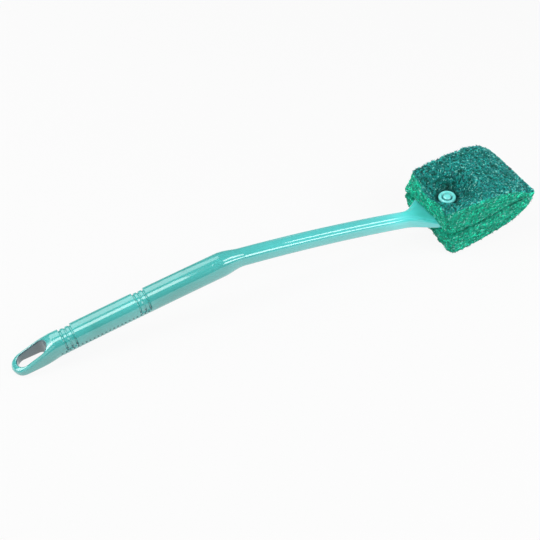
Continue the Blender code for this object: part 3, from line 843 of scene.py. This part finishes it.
class PadShape:
    """The folded strip: u runs along it from the upper free end, v across it, w outwards."""

    steps = 360

    def __init__(self):
        self.sizes = bpy.context.scene.scrubber_pad
        self.outer = along_curve(outer_curve(), self.steps)
        self.inner = along_curve(inner_curve(), self.steps)
        self.length = sum(dist(a[:2], b[:2]) for a, b in zip(self.outer, self.outer[1:]))

    def looked_up(self, table, u):
        place = min(max(u, 0.0), 1.0) * self.steps
        index = min(int(place), self.steps - 1)
        return tuple(mix(a, b, place - index) for a, b in zip(table[index], table[index + 1]))

    def inner_height(self, x, y, z):
        """Where the strip's inner face lies: on the blade and neck, or along the slit beside them."""
        side = 1 if z >= 0 else -1
        edge = smooth(BLADE_WIDTH / 2 + BLADE_GAP, self.sizes.width / 2, abs(y))
        mouth = mix(FOLD_MOUTH, FOLD_GAP, smooth(-PAD_BACK, -PAD_BACK + FOLD_MOUTH_RUN, x)) / 2
        slit = fold_height(x) * edge + side * mouth
        width, height, power, _ = shaft_size(min(x, BLADE_REACH - BLADE_CORNER))
        width += 2 * BLADE_GAP
        if abs(y) >= width or x > BLADE_REACH:
            return slit
        round_share = (1 - (abs(y) / width) ** power) ** (1 / power)
        blade = centre(x) + side * (height + BLADE_GAP) * round_share
        return max(slit, blade) if side > 0 else min(slit, blade)

    def softened(self, u, v, w, thick):
        """The same place on the strip once its edges and corners are rounded."""
        sizes = self.sizes
        halves = (self.length / 2, sizes.width / 2, thick / 2)
        edge = sizes.edge_radius if w > 0.5 else sizes.edge_radius * INNER_EDGE
        radii = (sizes.corner_radius, sizes.corner_radius, min(edge, thick / 3))
        spots = [min(max(part, -1.0), 1.0) for part in (2 * u - 1, v, 2 * w - 1)]
        over = [max(abs(spot) * half / radius - half / radius + 1, 0.0)
                for spot, half, radius in zip(spots, halves, radii)]
        reach = hypot(*over)
        if reach == 0:
            return u, v, w
        pull = max(over) / reach
        moved = [copysign((half - radius + part * pull * radius) / half, spot) if part else spot
                 for spot, half, radius, part in zip(spots, halves, radii, over)]
        return (moved[0] + 1) / 2, moved[1], (moved[2] + 1) / 2

    def tuft(self, x, y, reach):
        """1 under the snap, falling to 0 at its reach: gently towards the neck, steeply beyond."""
        far = hypot(x, y)
        facing = (x * TUFT_STEEP[0] + y * TUFT_STEEP[1]) / far if far else 0.0
        beyond = max(facing, 0.0) ** 2
        reach *= 1 + 0.15 * max(-facing, 0.0) - 0.25 * beyond
        share = min(max((far - TUFT_FLAT) / (reach - TUFT_FLAT), 0.0), 1.0)
        return mix(1 - smooth(0.0, 1.0, share), (1 - share) ** 2, beyond)

    def place(self, u, v, w):
        """A point of the pad in the head's layout."""
        sizes = self.sizes
        thick = dist(self.looked_up(self.outer, u)[:2], self.looked_up(self.inner, u))
        u, v, w = self.softened(u, v, w, thick)
        ox, oz, height = self.looked_up(self.outer, u)
        ix, iz = self.looked_up(self.inner, u)
        along = (ox + PAD_BACK) / (PAD_REACH + PAD_BACK)
        upper = height > 0
        level = w if upper else -w
        free = 1 - smooth(0.0, FREE_END, along)
        shift = (PAD_SKEW * (v ** 3 if v > 0 else v) * level if upper else -PAD_UNDERCUT * level) * free
        y = v * sizes.width / 2
        crown = PAD_CROWN * (1 - v * v) * (1 - along)
        lean = PAD_LEAN * v * mix(1, -NOSE_TWIST, along) if upper else 0.0
        edge = PAD_EDGE * smooth(PAD_EDGE_FROM, 1.0, abs(v)) if upper else 0.0
        flat = smooth(0.0, NOSE_CLIMB_REACH, abs(height))
        outer_z = oz + (crown - edge - lean) * flat * (1 if upper else -1)
        inner_z = self.inner_height(ix, y, iz)
        if ix > BLADE_REACH:
            inner_z = mix(iz, iz + fold_height(ix), smooth(0.7, 1.0, abs(v)))
        x = mix(ix, ox, w) + shift - NOSE_TRIM * max(v, 0.0) ** 4 * along ** 6
        x, y = self.bunched(x, y, v, level, min(u, 1 - u))
        pull = self.tuft(x, y, sizes.tuft_radius if upper else sizes.tuft_radius * 0.74)
        if abs(height) > SEAT:
            outer_z = mix(outer_z, copysign(SEAT - RUNNING_GAP, height), pull)
        return above_floor(Vector((x, y, mix(inner_z, outer_z, w))))

    def bunched(self, x, y, v, level, end):
        """The place once bunches of fibre swell the cut sides and ends."""
        depth = (FAR_BUNCH if v > 0 else SIDE_BUNCH) * smooth(0.75, 1.0, abs(v))
        side = copysign(1.0, v)
        swell = noise.noise(Vector((x * 130.0, side * 5.0, level * 3.5)))
        swell += 0.6 * noise.noise(Vector((x * 420.0, side * 7.0, level * 9.0)))
        y += side * depth * swell
        free = 1 - smooth(0.0, 0.03, end)
        x -= END_BUNCH * free * noise.noise(Vector((v * 6.0, level * 3.0, 11.0)))
        return x, y

    def slope(self, spot, axis):
        """Which way the place moves when one of u, v and w grows."""
        ahead, behind = list(spot), list(spot)
        ahead[axis] += SLOPE_SHARE
        behind[axis] -= SLOPE_SHARE
        return self.place(*ahead) - self.place(*behind)

    def normal(self, *spot):
        """Outward direction at a point, from its neighbours."""
        u, v, w = spot
        if w >= 1.0:
            first, second, side = 1, 0, 1
        elif abs(v) >= 1.0:
            first, second, side = 0, 2, copysign(1.0, v)
        else:
            first, second, side = 2, 1, 1 if u > 0.5 else -1
        found = self.slope(spot, first).cross(self.slope(spot, second)) * side
        return found.normalized() if found.length else Vector((0.0, 0.0, 1.0))


def pad_face(bm, shape, cells, cut, where):
    """One face of the strip as a grid, marked with how much it is a cut side and with its layer."""
    cut_mark, layer_mark = (bm.verts.layers.float[name] for name in PAD_MARKS)
    for vert, column, row in grid_of(bm, *cells):
        u, v, w = where(column / cells[0], row / cells[1])
        vert.co = shape.place(u, v, w)
        vert[cut_mark] = cut
        vert[layer_mark] = w


def bare_pad(shape):
    """The strip's six faces, welded, with the lumps of its fibre."""
    long, wide, thick = PAD_CELLS
    bm = bmesh.new()
    for name in PAD_MARKS:
        bm.verts.layers.float.new(name)
    for w in (1.0, 0.0):
        pad_face(bm, shape, (long, wide), 1 - w, lambda a, b, w=w: (a, 2 * b - 1, w))
    for v in (-1.0, 1.0):
        pad_face(bm, shape, (long, thick), 1.0, lambda a, b, v=v: (a, v, b))
    for u in (0.0, 1.0):
        pad_face(bm, shape, (wide, thick), 1.0, lambda a, b, u=u: (u, 2 * a - 1, b))
    close_up(bm, 2 * WELD)
    depth = shape.sizes.roughness_depth
    bm.normal_update()
    moves = []
    for vert in bm.verts:
        where = vert.co
        free = 1.0
        if abs(where.y) < LUMP_BLADE_SIDE:
            free = smooth(*LUMP_BLADE_EDGE, abs(where.z - centre(where.x)))
        near, far = LUMP_SNAP_EDGE
        clear = smooth(CAP_RADIUS + near, CAP_RADIUS + far, hypot(where.x, where.y))
        lump = sum(noise.noise(where * scale + Vector((seed, seed * 1.7, -seed))) * share
                   for scale, seed, share in LUMPS)
        moves.append(vert.normal * depth * lump * free * clear)
    for vert, move in zip(bm.verts, moves):
        vert.co = above_floor(vert.co + move)
    return new_piece("pad_strip", bm)


class SCRUBBER_OT_pad(bpy.types.Operator):
    """Model the scouring strip folded over the blade, with the dimples that the snap draws"""
    bl_idname = "scrubber.pad"
    bl_label = "Scouring pad"

    def execute(self, context):
        sizes = context.scene.scrubber_pad
        pad = cut_away(bare_pad(PadShape()), [post_cutter()])
        finish = core_finish("scouring_core", sizes.face_colour, sizes.side_colour)
        mark(pad, "pressed", snap_and_slit_shade_share)
        finish_piece(pad, finish, "brush", ["scouring_pad"])
        return {"FINISHED"}


def strand(shape, chance, start, spread, stray):
    """Points of a curled fibre that starts on a face of the pad and keeps to it, or strays outwards."""
    sizes = shape.sizes
    u, v, w = start
    heading = chance.uniform(0, 2 * pi) if spread is None else chance.gauss(0.0, spread)
    curl = chance.uniform(-1.1, 1.1)
    step = sizes.fibre_length * chance.uniform(0.5, 1.3) / FIBRE_TURNS
    lift = chance.uniform(-0.1, 1.0) * sizes.fibre_lift
    loose = chance.random() < LOOSE_SHARE
    rise = sizes.fibre_lift * chance.uniform(*(LOOSE_RISE if loose else LAID_RISE))
    normal = shape.normal(u, v, w)
    face = w >= 1.0
    side = not face and abs(v) >= 1.0
    points = []
    for turn in range(FIBRE_TURNS + 1):
        outwards = Vector((0.0, copysign(stray * turn / FIBRE_TURNS, v), 0.0))
        height = lift + rise * (turn / FIBRE_TURNS) ** 2
        points.append(shape.place(u, v, w) + normal * height + outwards)
        along, across = step * cos(heading), step * sin(heading)
        if face or side:
            u += along / shape.length
        else:
            v += along / (sizes.width / 2)
        if face:
            v += across / (sizes.width / 2)
        else:
            w = folded_back(w + across / sizes.above, 0.03, 0.97)
        u = folded_back(u, 0.0, 1.0)
        v = folded_back(v, -1.0, 1.0)
        heading += curl
    return points


def folded_back(value, low, high):
    """The value, mirrored back where it leaves its range."""
    if value > high:
        return 2 * high - value
    return 2 * low - value if value < low else value


def in_the_open(points):
    """Whether all of a fibre lies over the floor and beside the stud's bore."""
    return all(hypot(point.x, point.y) > BORE_RADIUS + RUNNING_GAP
               and (LAID_DOWN @ point).z > FIBRE_FLOOR for point in points)


def strand_mesh(name, strands, radius, chance):
    """Thin closed tubes along the strands."""
    curve = bpy.data.curves.new(name, "CURVE")
    curve.dimensions = "3D"
    curve.bevel_depth = radius
    curve.bevel_resolution = 0
    curve.use_fill_caps = True
    for points in strands:
        spline = curve.splines.new("POLY")
        spline.points.add(len(points) - 1)
        thick = chance.uniform(0.7, 1.3)
        for turn, (point, place) in enumerate(zip(spline.points, points)):
            point.co = (*place, 1.0)
            point.radius = thick * (0.55 if turn in (0, len(points) - 1) else 1.0)
    drawn = new_object(name, curve)
    bpy.context.view_layer.update()
    mesh = bpy.data.meshes.new_from_object(drawn.evaluated_get(bpy.context.evaluated_depsgraph_get()))
    bpy.data.objects.remove(drawn, do_unlink=True)
    bm = bmesh.new()
    bm.from_mesh(mesh)
    close_up(bm, WELD / 10)
    bm.to_mesh(mesh)
    bm.free()
    return mesh


class SCRUBBER_OT_fibres(bpy.types.Operator):
    """Lay loose curled fibres over the pad's scouring faces and its cut sides"""
    bl_idname = "scrubber.fibres"
    bl_label = "Loose fibres"

    def execute(self, context):
        sizes = context.scene.scrubber_pad
        shape = PadShape()
        chance = random.Random(FIBRE_SEED)
        count = sizes.fibres
        any_of = chance.uniform
        either = chance.choice
        groups = (
            ("pad_upper_fibres", count, None, False,
             lambda: (any_of(0.0, 0.5), any_of(-1, 1), 1.0)),
            ("pad_lower_fibres", count, None, False,
             lambda: (any_of(0.5, 1.0), any_of(-1, 1), 1.0)),
            ("pad_side_fibres", count, 0.45, True,
             lambda: (any_of(0, 1), either((-1.0, 1.0)), any_of(0.06, 0.99))),
            ("pad_end_fibres", count // 3, 0.9, True,
             lambda: (either((0.0, 1.0)), any_of(-1, 1), any_of(0.03, 0.99))),
            ("pad_edge_fibres", count // 5, None, False,
             lambda: (any_of(0, 1), either((-1.0, 1.0, 1.0, 1.0)), 1.0)),
        )
        for name, number, spread, cut, start in groups:
            stray = sizes.fibre_stray if name == "pad_edge_fibres" else 0.0
            strands = [strand(shape, chance, start(), spread, stray) for _ in range(number)]
            strands = filter(in_the_open, strands)
            made = new_object(name, strand_mesh(name, strands, sizes.fibre_radius, chance))
            colour = sizes.side_colour if cut else sizes.face_colour
            shares = SIDE_SHARES if cut else FACE_SHARES
            finish = fibre_finish(name.replace("pad_", "scouring_"), colour, *shares)
            mark(made, "pressed", snap_and_slit_shade_share)
            finish_piece(made, finish, "brush")
        return {"FINISHED"}


# Snap

def turned_piece(name, profile, bevel):
    """A profile in the XZ plane spun round the snap's axis, with its corners rounded."""
    bm = bmesh.new()
    verts = [bm.verts.new((radius, 0.0, height)) for radius, height in profile]
    pairs = list(zip(verts, verts[1:]))
    if profile[0][0] > 0:
        pairs.append((verts[-1], verts[0]))
    edges = [bm.edges.new(pair) for pair in pairs]
    bmesh.ops.spin(bm, geom=verts + edges, axis=(0.0, 0.0, 1.0), angle=2 * pi, steps=96, use_merge=True)
    bmesh.ops.remove_doubles(bm, verts=bm.verts, dist=WELD)
    bmesh.ops.recalc_face_normals(bm, faces=bm.faces)
    sharp = [edge for edge in bm.edges if len(edge.link_faces) == 2
             and edge.calc_face_angle(0.0) > radians(24)]
    bmesh.ops.bevel(bm, geom=sharp, offset=bevel, segments=3, profile=0.5, affect="EDGES",
                    clamp_overlap=True, material=-1)
    bmesh.ops.recalc_face_normals(bm, faces=bm.faces)
    return new_piece(name, bm)


def snap_groove(point):
    """How much painted shade darkens the groove between the ring and the stud's end."""
    if point.z < 0:
        return 0.0
    far = hypot(point.x, point.y)
    return smooth(*GROOVE_INNER, far) * (1 - smooth(*GROOVE_OUTER, far)) * SNAP_SHADE


class SCRUBBER_OT_snap(bpy.types.Operator):
    """Turn the snap's ring and its stud with the button below"""
    bl_idname = "scrubber.snap"
    bl_label = "Snap"

    def execute(self, context):
        sizes = context.scene.scrubber_snap
        finish = plastic_finish("light_snap_plastic", sizes.colour, sizes.colour, 0.16)
        top = SEAT + CAP_THICKNESS
        ring = turned_piece("snap_ring_cap", (
            (BORE_RADIUS, SEAT), (BORE_RADIUS, top - 0.0016), (0.0043, top - 0.0016),
            (0.0046, top - 0.0002), (0.0054, top), (0.0062, top - 0.0003),
            (CAP_RADIUS, top - 0.0009), (CAP_RADIUS, SEAT + 0.0003),
            (CAP_RADIUS - 0.0003, SEAT)), sizes.bevel)
        # Painted shade in the snap's groove
        mark(ring, "hollow", snap_groove)
        finish_piece(ring, finish, "ring", ["snap_ring"], radians(40))
        tip = SEAT + STUD_CROWN
        base = -SEAT - CAP_THICKNESS
        stud = turned_piece("snap_stud_post", (
            (0.0, tip), (0.0012, tip - 0.0001), (0.0022, tip - 0.0004), (0.0029, tip - 0.0008),
            (STUD_RADIUS, tip - 0.0014), (STUD_RADIUS, -SEAT), (CAP_RADIUS - 0.0003, -SEAT),
            (CAP_RADIUS, -SEAT - 0.0003), (CAP_RADIUS, base + 0.0009), (0.0062, base + 0.0003),
            (0.0034, base), (0.0, base)), sizes.bevel)
        mark(stud, "hollow", snap_groove)
        finish_piece(stud, finish, "stud", ["snap_stud"], radians(40))
        return {"FINISHED"}


# Stage

LAMPS = (
    ("overhead_softbox", "key_power", (0.83, 0.58), (-0.385, 0.74, 0.65), False),
    ("grip_strip", "grip_power", (0.72, 0.34), (-0.44, 0.09, 0.65), False),
    ("shaft_softbox", "shaft_power", (1.15, 0.72), (0.675, -0.57, 0.65), False),
    ("side_fill", "fill_power", (0.8, 0.8), (-0.75, -0.75, 0.45), True),
    ("back_fill", "back_power", (0.9, 0.9), (-1.3, 0.30, 0.90), True),
)
LAMP_TARGET = (0.0, 0.0, 0.02)
SEEN_RAYS = ("Is Camera Ray", "Is Glossy Ray", "Is Transmission Ray")
SEEN_SHARE = 0.92
PAPER_TONES = ((0.58, 0.58, 0.58), (0.55, 0.55, 0.55))
FLOOR_REACH = 12.0
FLOOR_DROP = 0.0002


def softbox(name, power, size, place, aimed):
    """An area light that faces down, or the part."""
    data = bpy.data.lights.new(name, "AREA")
    data.shape = "RECTANGLE"
    data.size, data.size_y = size
    data.energy = power
    lamp = new_object(name, data)
    lamp.location = place
    if aimed:
        lamp.rotation_euler = (Vector(LAMP_TARGET) - Vector(place)).to_track_quat("-Z", "Y").to_euler()


def floor_finish():
    """Pale paper that the camera and reflections see as white but for the object's shadow."""
    finish = Finish("white_paper")
    where = finish.place()
    tone = finish.blend(finish.grain(where, scale=6.0) * 0.2, *(solid(tone) for tone in PAPER_TONES))
    paper = finish.node("ShaderNodeBsdfDiffuse", inputs={"Color": tone})
    glow = finish.node("ShaderNodeEmission", inputs={"Color": (1.0, 1.0, 1.0, 1.0), "Strength": 1.0})
    seen = sum(finish.node("ShaderNodeLightPath", output=ray) for ray in SEEN_RAYS)
    shader = finish.node("ShaderNodeMixShader", inputs={0: seen * SEEN_SHARE, 1: paper, 2: glow})
    return finish.output(shader)


class SCRUBBER_OT_stage(bpy.types.Operator):
    """Set the floor, the soft light and the camera"""
    bl_idname = "scrubber.stage"
    bl_label = "Stage"

    def execute(self, context):
        stage = context.scene.scrubber_stage
        bm = bmesh.new()
        bmesh.ops.create_grid(bm, x_segments=1, y_segments=1, size=FLOOR_REACH)
        bmesh.ops.translate(bm, verts=bm.verts, vec=(0.0, 0.0, -FLOOR_DROP))
        floor = new_piece("floor", bm)
        floor.data.materials.append(floor_finish())
        for name, setting, size, place, aimed in LAMPS:
            softbox(name, getattr(stage, setting), size, place, aimed)
        world = bpy.data.worlds.new("studio")
        world.use_nodes = True
        light = world.node_tree.nodes["Background"].inputs
        light["Color"].default_value = (1.0, 1.0, 1.0, 1.0)
        light["Strength"].default_value = stage.world_strength
        context.scene.world = world
        context.scene.view_settings.view_transform = "Standard"
        data = bpy.data.cameras.new("camera")
        data.sensor_width = 36.0
        data.lens = stage.lens
        camera = new_object("camera", data)
        camera.location = stage.camera_place
        camera.rotation_euler = Euler(stage.camera_turn, "XYZ")
        context.scene.camera = camera
        return {"FINISHED"}


class SCRUBBER_PT_panel(bpy.types.Panel):
    """Lists the scrubber's pieces and their sizes"""
    bl_idname = "SCRUBBER_PT_panel"
    bl_label = "Aquarium scrubber"
    bl_space_type = "VIEW_3D"
    bl_region_type = "UI"
    bl_category = "Scrubber"

    def draw(self, context):
        for name, group, makers in GROUPS:
            box = self.layout.box()
            for setting in group.__annotations__:
                box.prop(getattr(context.scene, name), setting)
            for maker in makers:
                box.operator(maker.bl_idname)


GROUPS = (
    ("scrubber_stage", StageSettings, (SCRUBBER_OT_stage,)),
    ("scrubber_handle", HandleSettings, (SCRUBBER_OT_handle,)),
    ("scrubber_pad", PadSettings, (SCRUBBER_OT_pad, SCRUBBER_OT_fibres)),
    ("scrubber_snap", SnapSettings, (SCRUBBER_OT_snap,)),
)


def register():
    for name, group, makers in GROUPS:
        for item in (group, *makers):
            bpy.utils.register_class(item)
        setattr(bpy.types.Scene, name, PointerProperty(type=group))
    bpy.utils.register_class(SCRUBBER_PT_panel)


def unregister():
    bpy.utils.unregister_class(SCRUBBER_PT_panel)
    for name, group, makers in reversed(GROUPS):
        delattr(bpy.types.Scene, name)
        for item in (*makers, group):
            bpy.utils.unregister_class(item)


def main():
    register()
    bpy.ops.scrubber.stage()
    bpy.ops.scrubber.handle()
    bpy.ops.scrubber.pad()
    bpy.ops.scrubber.fibres()
    bpy.ops.scrubber.snap()


if __name__ == "__main__":
    main()
